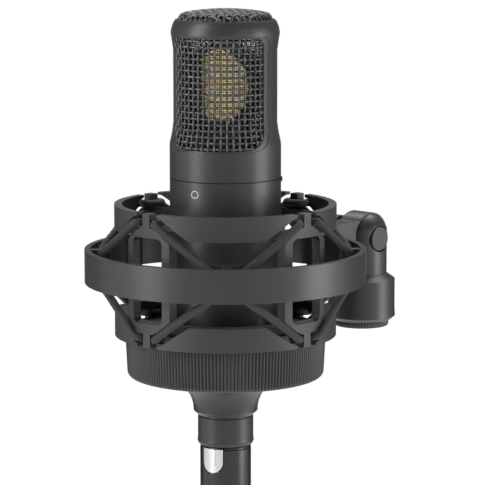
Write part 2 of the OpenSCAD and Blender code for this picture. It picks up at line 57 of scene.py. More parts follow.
def fromRim(x, y, z):
    return Vector((x, y - layout["reach"], z - layout["drop"])) * mm


cradlePlace = Matrix.Translation(fromRim(0, 0, 0))
micPlace = cradlePlace @ Matrix.Rotation(radians(layout["turn"]), 4, "Z")
swivelPlace = Matrix.Translation((0, 0, -layout["drop"] * mm))


class Wire:
    # a socket that can be added, multiplied and so on; each operator adds a Math node
    def __init__(self, graph, socket):
        self.graph, self.socket = graph, socket

    def calc(self, operation, *values):
        return self.graph.node("ShaderNodeMath", {"operation": operation}, dict(enumerate(values)))

    def apply(self, operation, *others):
        return self.calc(operation, self, *others)

    def __add__(self, other): return self.calc("ADD", self, other)
    def __radd__(self, other): return self.calc("ADD", other, self)
    def __sub__(self, other): return self.calc("SUBTRACT", self, other)
    def __rsub__(self, other): return self.calc("SUBTRACT", other, self)
    def __mul__(self, other): return self.calc("MULTIPLY", self, other)
    def __rmul__(self, other): return self.calc("MULTIPLY", other, self)
    def __truediv__(self, other): return self.calc("DIVIDE", self, other)
    def __rtruediv__(self, other): return self.calc("DIVIDE", other, self)


class Graph:
    def __init__(self, tree):
        self.tree = tree

    def node(self, kind, settings=None, inputs=None, out=0):
        made = self.tree.nodes.new(kind)
        for key, value in (settings or {}).items():
            if key == "stops":          # a colour ramp's stops: [(place, grey or colour)]
                ramp = made.color_ramp
                while len(ramp.elements) < len(value):
                    ramp.elements.new(0.5)
                for stop, (place, tone) in zip(ramp.elements, value):
                    stop.position = place
                    stop.color = (tone, tone, tone, 1) if isinstance(tone, float) else (*tone, 1)
            else:
                setattr(made, key, value)
        for key, value in (inputs or {}).items():
            socket = made.inputs[key]
            if isinstance(value, Wire):
                self.tree.links.new(value.socket, socket)
            elif isinstance(value, (list, tuple)) and isinstance(value[0], Wire):
                for each in value:
                    self.tree.links.new(each.socket, socket)
            else:
                socket.default_value = value
        return Wire(self, made.outputs[out]) if len(made.outputs) else None


looks = {
    # colour, roughness and metal of each slot; "mottle" is how far the colour drifts from patch to patch,
    # "grain" is the surface's own texture in mm and "depth" its height in micrometres
    "ring_paint": {"colour": (0.024, 0.024, 0.026), "rough": 0.38, "mottle": 0.10, "grain": 0.35, "depth": 14},
    "cage_plastic": {"colour": (0.024, 0.024, 0.026), "rough": 0.50, "mottle": 0.12, "grain": 0.45, "depth": 18},
    "lock_plastic": {"colour": (0.021, 0.021, 0.023), "rough": 0.50, "mottle": 0.12, "grain": 0.5, "depth": 16},
    "soft_rubber": {"colour": (0.018, 0.018, 0.019), "rough": 0.75, "mottle": 0.2, "grain": 0.6, "depth": 22},
    "elastic_braid": {"colour": (0.020, 0.020, 0.021), "rough": 0.72, "kind": "braid"},
    "body_paint": {"colour": (0.022, 0.022, 0.0235), "rough": 0.38, "mottle": 0.08, "grain": 0.3, "depth": 11},
    "grille_paint": {"colour": (0.024, 0.024, 0.0255), "rough": 0.40, "mottle": 0.08, "grain": 0.3, "depth": 11},
    "mesh_wire": {"colour": (0.042, 0.042, 0.045), "rough": 0.34, "metal": 0.35, "kind": "wire"},
    "fine_mesh": {"colour": (0.022, 0.021, 0.021), "rough": 0.40, "metal": 0.4, "kind": "wire"},
    "gold_film": {"colour": (0.88, 0.70, 0.27), "rough": 0.36, "metal": 0.7, "kind": "film"},
    "brass_part": {"colour": (0.72, 0.52, 0.23), "rough": 0.30, "metal": 1.0, "kind": "turned"},
    "bright_steel": {"colour": (0.56, 0.56, 0.57), "rough": 0.30, "metal": 1.0, "kind": "brushed"},
    "latch_chrome": {"colour": (0.56, 0.56, 0.57), "rough": 0.26, "metal": 1.0, "kind": "brushed"},
    "black_plastic": {"colour": (0.022, 0.022, 0.024), "rough": 0.5, "mottle": 0.15, "grain": 0.4, "depth": 14},
    "screw_black": {"colour": (0.040, 0.040, 0.043), "rough": 0.42, "metal": 0.5, "mottle": 0.2, "grain": 0.5,
                    "depth": 10},
    "plug_metal": {"colour": (0.014, 0.014, 0.016), "rough": 0.27, "shine": 0.5, "metal": 0.3, "mottle": 0.08,
                   "grain": 0.8, "depth": 2},
    "alloy": {"colour": (0.58, 0.58, 0.60), "rough": 0.36, "metal": 1.0, "kind": "brushed"},
    "board": {"colour": (0.020, 0.100, 0.045), "rough": 0.38, "kind": "board"},
    "component": {"colour": (0.030, 0.030, 0.034), "rough": 0.35, "mottle": 0.2, "grain": 0.5, "depth": 10},
    "mark_ink": {"colour": (0.5, 0.5, 0.5), "rough": 0.5, "mottle": 0.05, "grain": 0.3, "depth": 4},
}
paintPatch = 9.0    # mm across a patch of paint
boardWeave = 1.2    # mm across the board's cloth pattern


def noise(graph, where, size, detail=2.0, stretch=None):
    # noise with features about size mm across, longer along the axes where stretch is below 1
    if stretch:
        where = graph.node("ShaderNodeMapping", {}, {"Vector": where, "Scale": stretch})
    return graph.node("ShaderNodeTexNoise", {}, {"Vector": where, "Scale": 1 / (size * mm), "Detail": detail})


def tinted(graph, factor, low, high):
    # one colour to another; 6 and 7 are the Mix node's colour sockets, 2 its colour output
    return graph.node("ShaderNodeMix", {"data_type": "RGBA"}, {0: factor, 6: (*low, 1), 7: (*high, 1)}, out=2)


def scaled(colour, share):
    return tuple(min(1.0, c * share) for c in colour)


def makeLook(name, look):
    material = bpy.data.materials.new(name)
    material.use_nodes = True
    material.node_tree.nodes.clear()
    graph = Graph(material.node_tree)
    colour, rough, kind = look["colour"], look["rough"], look.get("kind", "paint")
    where = graph.node("ShaderNodeTexCoord", out="Object")
    sockets = {"Metallic": look.get("metal", 0.0), "Specular IOR Level": look.get("shine", 0.3)}
    if kind == "braid":
        # two sets of strands that pass over and under each other, on the cord's own map
        flat = graph.node("ShaderNodeSeparateXYZ", {}, {0: graph.node("ShaderNodeTexCoord", out="UV")})
        across, along = flat, Wire(graph, flat.socket.node.outputs[1])
        left, right = across + along, across - along
        ridgeLeft, ridgeRight = [(each * pi).apply("SINE").apply("ABSOLUTE") for each in (left, right)]
        over = (left.apply("FLOOR") + right.apply("FLOOR")).apply("PINGPONG", 1.0)
        height = graph.node("ShaderNodeMix", {"data_type": "FLOAT"}, {0: over, 2: ridgeLeft, 3: ridgeRight})
        fray = noise(graph, where, 0.15)
        # painted shade in the grooves between strands and painted highlight on their crests, mixed with random fray in
        # the tone
        grooveShadeAndFray = (height * 0.7 + fray * 0.5).apply("MINIMUM", 1.0)
        sockets["Base Color"] = tinted(graph, grooveShadeAndFray, scaled(colour, 0.45), scaled(colour, 1.5))
        sockets["Roughness"] = 0.85 - height * 0.15
        bumpHeight, depth = height + fray * 0.3, 60
    elif kind == "wire":
        # lighter patches placed at random on the wires are painted glints
        glintNoise = noise(graph, where, 1.1)
        paintedGlints = graph.node("ShaderNodeValToRGB", {"stops": [(0.42, 0.0), (0.68, 1.0)]}, {0: glintNoise})
        sockets["Base Color"] = tinted(graph, paintedGlints, colour, scaled(colour, 2.2))
        sockets["Roughness"] = rough + noise(graph, where, 0.3) * 0.16 - 0.08
        bumpHeight, depth = noise(graph, where, 0.12), 8
    elif kind == "film":
        cloud = noise(graph, where, 7.0, 3.0)
        sockets["Base Color"] = tinted(graph, cloud, scaled(colour, 0.85), scaled(colour, 1.1))
        sockets["Roughness"] = rough + cloud * 0.12 - 0.06
        bumpHeight, depth = noise(graph, where, 2.5), 12
    elif kind in ("turned", "brushed"):
        stretch = (1, 1, 14) if kind == "turned" else (12, 12, 1)
        lines = noise(graph, where, 2.2, 3.0, stretch)
        stain = noise(graph, where, 6.0)
        sockets["Base Color"] = tinted(graph, stain, scaled(colour, 0.88), scaled(colour, 1.08))
        sockets["Roughness"] = rough + lines * 0.2 - 0.1
        bumpHeight, depth = lines, 10
    elif kind == "board":
        weave = graph.node("ShaderNodeTexBrick", {"offset": 0.5}, {
            "Vector": where, "Scale": 1 / (boardWeave * mm), "Mortar Size": 0.03}, out=1)
        sockets["Base Color"] = tinted(graph, weave, scaled(colour, 0.8), scaled(colour, 1.25))
        sockets["Roughness"] = rough + noise(graph, where, 1.0) * 0.1
        bumpHeight, depth = weave, 8
    else:
        drift = noise(graph, where, paintPatch, 3.0)
        mottle = look["mottle"]
        sockets["Base Color"] = tinted(graph, drift, scaled(colour, 1 - mottle), scaled(colour, 1 + mottle))
        sockets["Roughness"] = rough + noise(graph, where, look["grain"] * 3) * 0.12 - 0.06
        bumpHeight, depth = noise(graph, where, look["grain"], 3.0), look["depth"]
    sockets["Normal"] = graph.node("ShaderNodeBump", {}, {
        "Height": bumpHeight, "Distance": depth * 1e-6, "Strength": 1.0})
    shader = graph.node("ShaderNodeBsdfPrincipled", {}, sockets)
    graph.node("ShaderNodeOutputMaterial", {}, {"Surface": shader})
    return material


materials = {name: makeLook(name, look) for name, look in looks.items()}
for name, node in nodes.items():
    node.data.materials.clear()
    node.data.materials.append(materials[slotOf[name]])
print("stage 2:", len(materials), "materials")


def addPiece(name, mesh, slot, body, stands=(), bend=None, paint=None):
    # puts a finished mesh in the scene, riding on its body; with a bend given it is only fixed in place and rides on no
    # body
    mesh.materials.clear()
    mesh.materials.append(materials[paint or slot])
    piece = bpy.data.objects.new(name, mesh)
    bpy.context.scene.collection.objects.link(piece)
    if bend:
        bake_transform(piece)
    else:
        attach(piece, body)
    if stands:
        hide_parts(*stands)
    return piece


def plainMesh(holder):
    # the evaluated object as a plain mesh; the holder and its modifiers go
    graph = bpy.context.evaluated_depsgraph_get()
    mesh = bpy.data.meshes.new_from_object(holder.evaluated_get(graph), depsgraph=graph)
    holder.modifiers.clear()
    old = holder.data
    bpy.data.objects.remove(holder)
    if old.users == 0:
        bpy.data.meshes.remove(old)
    return mesh


def holderOf(mesh):
    holder = bpy.data.objects.new("holder", mesh)
    bpy.context.scene.collection.objects.link(holder)
    return holder


def meshOf(points, faces, place=None):
    mesh = bpy.data.meshes.new("made")
    mesh.from_pydata([p if place is None else place @ Vector(p) for p in points], [], faces)
    mesh.update()
    return mesh


def smoothed(mesh, angle):
    mesh.polygons.foreach_set("use_smooth", [True] * len(mesh.polygons))
    mesh.set_sharp_from_angle(angle=radians(angle))
    mesh.update()
    return mesh


def lathe(profile, place, steps=128):
    # turns a closed outline of (radius, height) in mm; it is listed going up its outer wall, so faces point outwards
    count = len(profile)
    points = [(r * mm * cos(tau * i / steps), r * mm * sin(tau * i / steps), z * mm)
              for i in range(steps) for r, z in profile]
    faces = [(i * count + k, (i + 1) % steps * count + k,
              (i + 1) % steps * count + (k + 1) % count, i * count + (k + 1) % count)
             for i in range(steps) for k in range(count)]
    return meshOf(points, faces, place)


eased = {
    # node: how far its edges are rounded, in mm
    "stand_socket": 0.35, "outer_ring": 0.4, "cord_hooks": 0.25, "cage": 0.35, "collet": 0.25, "body_tube": 0.16,
    "xlr_shell": 0.12, "grille_frame": 0.3, "connector_shell": 0.14, "latch_tab": 0.15, "pivot_screw": 0.3,
    "tilt_knob": 0.35, "pad_slider": 0.12, "low_cut_slider": 0.12, "connector_boot": 0.4, "friction_washers": 0.1,
    "front_clamp_ring": 0.2, "rear_clamp_ring": 0.2,
}
easing = {"weld": 1e-6, "flat": 0.4, "corner": 34, "sharp": 40, "segments": 2}     # metres, then angles in degrees
bodyOf = {name: body for body, names in frame["record"]["behaviour"]["bodies"].items() for name in names}


def easeEdges(node, width):
    holder = holderOf(nodes[node].data.copy())
    weld = holder.modifiers.new("weld", "WELD")
    weld.merge_threshold = easing["weld"]
    flat = holder.modifiers.new("flat", "DECIMATE")
    flat.decimate_type = "DISSOLVE"
    flat.angle_limit = radians(easing["flat"])
    bevel = holder.modifiers.new("bevel", "BEVEL")
    bevel.width, bevel.segments, bevel.limit_method = width * mm, easing["segments"], "ANGLE"
    bevel.angle_limit = radians(easing["corner"])
    bevel.miter_outer = "MITER_ARC"
    mesh = smoothed(plainMesh(holder), easing["sharp"])
    holder = holderOf(mesh)
    weighted = holder.modifiers.new("weighted", "WEIGHTED_NORMAL")
    weighted.keep_sharp = True
    return plainMesh(holder)


for node, width in eased.items():
    addPiece(node + "_finished", easeEdges(node, width), slotOf[node], bodyOf[node], [node])
print("stage 3:", len(eased), "pieces eased")


def newTree(name, sizes):
    # a geometry tree with named number inputs, a material and an output; a size written without a point
    # makes a whole-number input
    tree = bpy.data.node_groups.new(name, "GeometryNodeTree")
    tree.interface.new_socket("Geometry", in_out="INPUT", socket_type="NodeSocketGeometry")
    for label, value in sizes.items():
        kind = "NodeSocketInt" if isinstance(value, int) else "NodeSocketFloat"
        tree.interface.new_socket(label, in_out="INPUT", socket_type=kind)
    tree.interface.new_socket("Material", in_out="INPUT", socket_type="NodeSocketMaterial")
    tree.interface.new_socket("Geometry", in_out="OUTPUT", socket_type="NodeSocketGeometry")
    graph = Graph(tree)
    first = tree.nodes.new("NodeGroupInput")
    return tree, graph, {socket.name: Wire(graph, socket) for socket in first.outputs if socket.name}


def endTree(graph, sources, given):
    # every tree ends in Realize Instances and Set Material
    joined = graph.node("GeometryNodeJoinGeometry", {}, {0: sources})
    real = graph.node("GeometryNodeRealizeInstances", {}, {0: joined})
    smooth = graph.node("GeometryNodeSetShadeSmooth", {}, {0: real})
    painted = graph.node("GeometryNodeSetMaterial", {}, {"Geometry": smooth, "Material": given["Material"]})
    graph.node("NodeGroupOutput", {}, {0: painted})


def grown(tree, sizes, material, mesh=None, place=None):
    # runs a tree with these sizes and returns the result as a plain mesh
    holder = holderOf(mesh or bpy.data.meshes.new("seed"))
    modifier = holder.modifiers.new("grow", "NODES")
    modifier.node_group = tree
    for item in tree.interface.items_tree:
        if item.in_out == "INPUT" and item.name in sizes:
            modifier[item.identifier] = sizes[item.name]
        if item.in_out == "INPUT" and item.name == "Material":
            modifier[item.identifier] = material
    result = plainMesh(holder)
    if place is not None:
        result.transform(place)
    result.update()
    return result


def splitXyz(graph, vector):
    node = graph.node("ShaderNodeSeparateXYZ", {}, {0: vector}).socket.node
    return [Wire(graph, socket) for socket in node.outputs]


def vectorOf(graph, x, y, z):
    return graph.node("ShaderNodeCombineXYZ", {}, {0: x, 1: y, 2: z})


def wireMesh(graph, curve, thickness, sides, closedEnds):
    profile = graph.node("GeometryNodeCurvePrimitiveCircle", {"mode": "RADIUS"}, {
        "Resolution": sides, "Radius": thickness * 0.5})
    return graph.node("GeometryNodeCurveToMesh", {}, {
        "Curve": curve, "Profile Curve": profile, "Fill Caps": closedEnds})


def weaveTree():
    # a plain weave wrapped round a cylinder: rings and uprights that pass in front of and behind each other
    tree, graph, given = newTree("weave round a tube", {
        "Radius": 0.0, "Low": 0.0, "High": 0.0, "Uprights": 2, "Rings": 2, "Wire": 0.0, "Swing": 0.0,
        "Steps": 2, "Sides": 3,
        "Waist Low": 0.0, "Waist High": 0.0, "Flare Low": 0.0, "Flare High": 0.0, "Flare Reach": 1.0})
    pitch = (given["High"] - given["Low"]) / (given["Rings"] - 1.0)
    x, y, z = splitXyz(graph, graph.node("GeometryNodeInputPosition"))
    angle = y.apply("ARCTAN2", x)
    wave = (angle * given["Uprights"] * 0.5).apply("COSINE") * ((z - given["Low"]) / pitch * pi).apply("COSINE")
    wave = wave * given["Swing"]
    outward = graph.node("ShaderNodeVectorMath", {"operation": "NORMALIZE"}, {0: vectorOf(graph, x, y, 0.0)})
    zero = vectorOf(graph, 0.0, 0.0, given["Low"])
    # the tube widens above and below its waist, as the frame does
    low = ((given["Waist Low"] - z) / given["Flare Reach"]).apply("MAXIMUM", 0.0).apply("MINIMUM", 1.0)
    high = ((z - given["Waist High"]) / (given["Flare Reach"] * 0.75)).apply("MAXIMUM", 0.0).apply("MINIMUM", 1.0)
    flare = low * given["Flare Low"] + high * given["Flare High"]

    circle = graph.node("GeometryNodeCurvePrimitiveCircle", {"mode": "RADIUS"}, {
        "Resolution": given["Uprights"] * given["Steps"], "Radius": given["Radius"]})
    levels = graph.node("GeometryNodeMeshLine", {"mode": "OFFSET", "count_mode": "TOTAL"}, {
        "Count": given["Rings"], "Start Location": zero, "Offset": vectorOf(graph, 0.0, 0.0, pitch)})
    rings = graph.node("GeometryNodeInstanceOnPoints", {}, {"Points": levels, "Instance": circle})

    upright = graph.node("GeometryNodeCurvePrimitiveLine", {}, {
        "Start": vectorOf(graph, given["Radius"], 0.0, given["Low"]),
        "End": vectorOf(graph, given["Radius"], 0.0, given["High"])})
    upright = graph.node("GeometryNodeResampleCurve", {}, {
        "Curve": upright, "Count": given["Rings"] * given["Steps"] - given["Steps"] + 1.0})
    spots = graph.node("GeometryNodeMeshLine", {"mode": "OFFSET", "count_mode": "TOTAL"}, {
        "Count": given["Uprights"], "Offset": (0, 0, 0)})
    turn = vectorOf(graph, 0.0, 0.0, graph.node("GeometryNodeInputIndex") * tau / given["Uprights"])
    uprights = graph.node("GeometryNodeInstanceOnPoints", {}, {"Points": spots, "Instance": upright, "Rotation": turn})

    sets = []
    for source, sign, ends in ((rings, 1.0, False), (uprights, -1.0, True)):
        real = graph.node("GeometryNodeRealizeInstances", {}, {0: source})
        shift = graph.node("ShaderNodeVectorMath", {"operation": "SCALE"}, {0: outward, "Scale": wave * sign + flare})
        bent = graph.node("GeometryNodeSetPosition", {}, {"Geometry": real, "Offset": shift})
        sets.append(wireMesh(graph, bent, given["Wire"], given["Sides"], ends))
    endTree(graph, sets, given)
    return tree


def domeTree():
    # a plain weave over a shallow dome, cut to a circle: two sets of wires at right angles
    tree, graph, given = newTree("weave over a dome", {
        "Edge": 0.0, "Curve": 0.0, "Top": 0.0, "Pitch": 0.0, "Count": 3, "Wire": 0.0, "Swing": 0.0,
        "Step": 0.0, "Sides": 3, "Round": 0.0})
    x, y, z = splitXyz(graph, graph.node("GeometryNodeInputPosition"))
    past = ((x * x + y * y).apply("SQRT") - given["Edge"] + given["Round"]).apply("MAXIMUM", 0.0)
    fall = given["Round"] - (given["Round"] * given["Round"] - past * past).apply("MAXIMUM", 0.0).apply("SQRT")
    surface = (given["Curve"] * given["Curve"] - x * x - y * y).apply("SQRT") - fall
    wave = (x / given["Pitch"] * pi).apply("COSINE") * (y / given["Pitch"] * pi).apply("COSINE") * given["Swing"]
    half = (given["Count"] - 1.0) * given["Pitch"] * 0.5
    sets = []
    for sign, turn in ((1.0, 0.0), (-1.0, pi / 2)):
        row = graph.node("GeometryNodeMeshLine", {"mode": "OFFSET", "count_mode": "TOTAL"}, {
            "Count": given["Count"], "Start Location": vectorOf(graph, 0.0 - half, 0.0, 0.0),
            "Offset": vectorOf(graph, given["Pitch"], 0.0, 0.0)})
        reach = (given["Edge"] * given["Edge"] - x * x).apply("MAXIMUM", 1e-8).apply("SQRT")
        strand = graph.node("GeometryNodeCurvePrimitiveLine", {}, {"Start": (0, -1, 0), "End": (0, 1, 0)})
        strands = graph.node("GeometryNodeInstanceOnPoints", {}, {
            "Points": row, "Instance": strand, "Scale": vectorOf(graph, 1.0, reach, 1.0)})
        real = graph.node("GeometryNodeRealizeInstances", {}, {0: strands})
        real = graph.node("GeometryNodeTransform", {}, {"Geometry": real, "Rotation": (0, 0, turn)})
        real = graph.node("GeometryNodeResampleCurve", {"mode": "LENGTH"}, {"Curve": real, "Length": given["Step"]})
        bent = graph.node("GeometryNodeSetPosition", {}, {
            "Geometry": real, "Position": vectorOf(graph, x, y, given["Top"] - given["Curve"] + surface + wave * sign)})
        sets.append(wireMesh(graph, bent, given["Wire"], given["Sides"], True))
    endTree(graph, sets, given)
    return tree


# The wires' sizes in mm. The outer weave widens where the frame does, from its waist over the flare's reach;
# "Round" is how the crown's edge bends down, and "Swing" how far a wire sways over and under.
windowWeave = {"Radius": 17.6, "Low": 107.0, "High": 149.0, "Uprights": 52, "Rings": 21, "Wire": 0.86, "Swing": 0.25,
               "Steps": 4, "Sides": 6,
               "Waist Low": 117.3, "Waist High": 142.9, "Flare Low": 1.4, "Flare High": 0.9, "Flare Reach": 8.1}
fineWeave = {"Radius": 16.75, "Low": 103.4, "High": 151.2, "Uprights": 140, "Rings": 64, "Wire": 0.25, "Swing": 0.0,
             "Steps": 1, "Sides": 4}
domeWeave = {"Edge": 16.6, "Curve": 83.0, "Top": 156.95, "Pitch": 2.1, "Count": 15, "Wire": 0.9, "Swing": 0.25,
             "Step": 0.4, "Sides": 6, "Round": 2.0}
fineTop = {"Edge": 16.6, "Curve": 400.0, "Top": 151.4, "Pitch": 0.75, "Count": 43, "Wire": 0.3, "Swing": 0.0,
           "Step": 4.0, "Sides": 4}
inMillimetres = ("Radius", "Low", "High", "Wire", "Swing", "Edge", "Curve", "Top", "Pitch", "Step", "Round",
                 "Waist Low", "Waist High", "Flare Low", "Flare High", "Flare Reach")


def metric(sizes):
    return {key: value * mm if key in inMillimetres else value for key, value in sizes.items()}


def addWeave(name, tree, sizes, slot, stands=()):
    mesh = grown(tree, metric(sizes), materials[slot], place=micPlace)
    addPiece(name, mesh, slot, "mic", stands)


tubeWeave, crownWeave = weaveTree(), domeTree()
addWeave("window_weave", tubeWeave, windowWeave, "mesh_wire", ["window_mesh"])
addWeave("top_weave", crownWeave, domeWeave, "mesh_wire", ["top_mesh"])
addWeave("fine_weave", tubeWeave, fineWeave, "fine_mesh", ["inner_mesh"])
addWeave("fine_weave_top", crownWeave, fineTop, "fine_mesh")
print("stage 4: wire meshes woven")


def ribTree():
    # draws the outer wall of a turned piece in between ribs; "rib" on a point says how much it takes part
    tree, graph, given = newTree("ribs round a wall", {"Count": 12, "Depth": 0.0})
    x, y, z = splitXyz(graph, graph.node("GeometryNodeInputPosition"))
    wave = (1.0 - (y.apply("ARCTAN2", x) * given["Count"]).apply("COSINE")) * 0.5
    wave = wave * wave          # rounded ribs with narrow flanks
    share = graph.node("GeometryNodeInputNamedAttribute", {"data_type": "FLOAT"}, {"Name": "rib"})
    outward = graph.node("ShaderNodeVectorMath", {"operation": "NORMALIZE"}, {0: vectorOf(graph, x, y, 0.0)})
    shift = graph.node("ShaderNodeVectorMath", {"operation": "SCALE"}, {
        0: outward, "Scale": wave * share * given["Depth"] * -1.0})
    cut = graph.node("GeometryNodeSetPosition", {}, {"Geometry": given["Geometry"], "Offset": shift})
    endTree(graph, [cut], given)
    return tree


def ribbed(profile, shares, count, depth, place, angle):
    # profile and shares go together: how much of the rib each corner of the outline takes
    steps = count * stepsPerRib
    mesh = lathe(profile, None, steps)
    rib = mesh.attributes.new("rib", "FLOAT", "POINT")
    rib.data.foreach_set("value", [shares[k] for i in range(steps) for k in range(len(profile))])
    result = grown(ribs, {"Count": count, "Depth": depth * mm}, materials["lock_plastic"], mesh, place)
    return smoothed(result, angle)


ribs = ribTree()
stepsPerRib = 4
lockRing = {"count": 180, "depth": 0.55, "high": 39.7, "low": 25.1, "rHigh": 36.2, "rLow": 35.6, "round": 2.0,
            "hub": 32.3, "collet": 24.5, "floor": 27.2, "smooth": 60}


def makeLockRing():
    s = lockRing
    wall = [(s["hub"], s["high"] - 0.4), (s["hub"] + 0.4, s["high"]), (s["rHigh"] - 0.55, s["high"]),
            (s["rHigh"] - 0.2, s["high"] - 0.08), (s["rHigh"], s["high"] - 0.4)]
    shares = [0, 0, 0, 0.3, 1]
    corner = (s["rLow"] - s["round"], s["low"] + s["round"])
    for k in range(7):
        a = -pi / 2 * k / 6
        wall.append((corner[0] + s["round"] * cos(a), corner[1] + s["round"] * sin(a)))
        shares.append(1 if k < 5 else 0.45 if k == 5 else 0)
    wall += [(s["collet"] + 0.3, s["low"]), (s["collet"], s["low"] + 0.3), (s["collet"], s["floor"] - 0.2),
             (s["collet"] + 0.2, s["floor"]), (s["hub"], s["floor"])]
    shares += [0] * 5
    return ribbed(wall[::-1], shares[::-1], s["count"], s["depth"], cradlePlace, s["smooth"])


addPiece("lock_ring_ribbed", makeLockRing(), "lock_plastic", "clamp_ring", ["lock_ring"])

bush = {"count": 64, "depth": 0.35, "flange": 10.5, "thread": 7.9, "bore": 3.97, "low": 33.7, "flangeHigh": 36.09,
        "high": 48.0, "turns": 11, "groove": 0.3, "boreTurns": 9, "borePitch": 1.5, "smooth": 40}


def makeBush():
    s = bush
    # flange, outside thread, then the bore with its own fine grooves on the way back down
    line = [(s["bore"] + 0.5, s["low"]), (s["flange"] - 0.45, s["low"]), (s["flange"], s["low"] + 0.45),
            (s["flange"], s["flangeHigh"] - 0.4), (s["flange"] - 0.4, s["flangeHigh"]), (s["thread"], s["flangeHigh"])]
    shares = [0, 0.2, 1, 1, 0.2, 0]
    pitch = (s["high"] - s["flangeHigh"] - 1) / s["turns"]
    for k in range(s["turns"]):
        z = s["flangeHigh"] + 0.5 + k * pitch
        line += [(s["thread"], z), (s["thread"] - s["groove"], z + pitch * 0.5)]
        shares += [0, 0]
    line += [(s["thread"], s["high"] - 0.5), (s["thread"] - 0.5, s["high"]), (s["bore"] + 0.4, s["high"])]
    shares += [0, 0, 0]
    for k in range(s["boreTurns"]):
        z = s["high"] - 0.5 - k * s["borePitch"]
        line += [(s["bore"], z), (s["bore"] + s["groove"], z - s["borePitch"] / 2)]
        shares += [0, 0]
    return ribbed(line, shares, s["count"], s["depth"], swivelPlace, s["smooth"])


addPiece("thread_bush_knurled", makeBush(), "screw_black", "adapter", ["thread_bush"])
print("stage 5: ribbed rings")


cords = {
    # the route from behind a tab to the tip under the next hook: sideways, outward, share of the height between;
    # "levels" is each cord's height behind its tabs and at its tips
    "route": [(0, 35, 0), (2, 35.1, 0), (3.3, 36.2, 0), (3.6, 38.4, 0), (4.2, 40, 0), (6, 40.5, 0.04),
              (12.7, 39.2, 0.3), (20.3, 37.6, 0.57), (26.4, 36.2, 0.78), (29.3, 34.3, 0.92), (31.9, 31.9, 1)],
    "radius": 1.45, "relief": 0.11, "strands": 8, "lay": 5.2, "sides": 24, "step": 0.5,
    "levels": {"upper_cord": (84.4, 66.9), "lower_cord": (43.7, 63.6)},
}


def cordPoints(slotHigh, tipHigh):
    half = [Vector((x, -y, slotHigh + share * (tipHigh - slotHigh))) for x, y, share in cords["route"]]
    quarter = [Vector((-p.x, p.y, p.z)) for p in half[-2:0:-1]] + half
    return [Matrix.Rotation(k * pi / 2, 4, "Z") @ p for k in range(4) for p in quarter]


def throughPoints(points, step):
    # an even walk along the smooth closed curve through the points
    fine = []
    count = len(points)
    for i in range(count):
        a, b, c, d = (points[(i + k) % count] for k in (-1, 0, 1, 2))
        for k in range(12):
            t = k / 12
            fine.append(b * 1.0 + (c - a) * 0.5 * t + (a * 2 - b * 5 + c * 4 - d) * 0.5 * t * t
                        + (b * 3 - a - c * 3 + d) * 0.5 * t ** 3)
    lengths = [(fine[(i + 1) % len(fine)] - fine[i]).length for i in range(len(fine))]
    total = sum(lengths)
    want = round(total / step)
    done, here, gone = [], 0, 0.0
    for i in range(want):
        target = total * i / want
        while gone + lengths[here] < target:
            gone += lengths[here]
            here += 1
        done.append(fine[here].lerp(fine[(here + 1) % len(fine)], (target - gone) / lengths[here]))
    return done, total


def makeCord(name):
    slotHigh, tipHigh = cords["levels"][name]
    path, length = throughPoints(cordPoints(slotHigh, tipHigh), cords["step"])
    rings, sides, strands = len(path), cords["sides"], cords["strands"]
    lays = round(length / cords["lay"]) * 1.0
    points, uvs = [], []
    for i, p in enumerate(path):
        along = (path[(i + 1) % rings] - path[i - 1]).normalized()
        side = along.cross(Vector((0, 0, 1))).normalized()
        up = side.cross(along)
        v = lays * strands * i / rings
        for k in range(sides):
            u = strands * k / sides
            left, right = u + v, u - v
            over = (floor(left) + floor(right)) % 2
            ridge = abs(sin(left * pi)) if over == 0 else abs(sin(right * pi))
            r = cords["radius"] - cords["relief"] * (1 - ridge)
            a = tau * k / sides
            points.append((p + (side * cos(a) + up * sin(a)) * r) * mm)
    faces = [(i * sides + k, i * sides + (k + 1) % sides,
              (i + 1) % rings * sides + (k + 1) % sides, (i + 1) % rings * sides + k)
             for i in range(rings) for k in range(sides)]
    mesh = meshOf(points, faces, cradlePlace)
    uvMap = mesh.uv_layers.new(name="cord")
    flat = []
    for i in range(rings):
        for k in range(sides):
            for di, dk in ((0, 0), (0, 1), (1, 1), (1, 0)):
                flat += [strands * (k + dk) / sides, lays * strands * (i + di) / rings]
    uvMap.data.foreach_set("uv", flat)
    mesh.polygons.foreach_set("use_smooth", [True] * len(mesh.polygons))
    bend = ("ring", "cradle", fromRim(0, 0, tipHigh), fromRim(0, 0, slotHigh))
    addPiece(name + "_braid", mesh, "elastic_braid", None, [name], bend)
    print("  ", name, "is", round(length), "mm round,", len(mesh.polygons), "faces")


for name in cords["levels"]:
    makeCord(name)
print("stage 6: cords braided")


mark = {"height": 93.0, "size": 0.98, "notch": 1.12, "lift": 0.9, "line": 0.26, "radius": 20.0, "sunk": 0.02,
        "proud": 0.03, "points": 96}


def makeMark():
    # a heart-shaped pick-up curve with its notch below, drawn as a thin flat line on the tube's front
    s = mark
    count = s["points"]

    def curve(i):
        t = tau * i / count
        reach = s["size"] * (s["notch"] + sin(t))
        return Vector((reach * cos(t), reach * sin(t) - s["size"] * s["lift"]))

    lines = [[], []]
    for i in range(count):
        along = (curve(i + 1) - curve(i - 1)).normalized()
        for line, shift in zip(lines, (-s["line"] / 2, s["line"] / 2)):
            line.append(curve(i) + Vector((along.y, -along.x)) * shift)
    points = [(radius * mm * sin(p.x / s["radius"]), -radius * mm * cos(p.x / s["radius"]), (s["height"] + p.y) * mm)
              for radius in (s["radius"] - s["sunk"], s["radius"] + s["proud"]) for line in lines for p in line]
    faces = []
    for i in range(count):
        j = (i + 1) % count
        a, b, c, d = (i + k * count for k in range(4))
        e, f, g, h = (j + k * count for k in range(4))
        faces += [(c, d, h, g), (b, a, e, f), (d, b, f, h), (a, c, g, e)]
    return meshOf(points, faces, micPlace)


addPiece("pickup_mark", makeMark(), "body_paint", "mic", paint="mark_ink")
print("stage 7: mark")


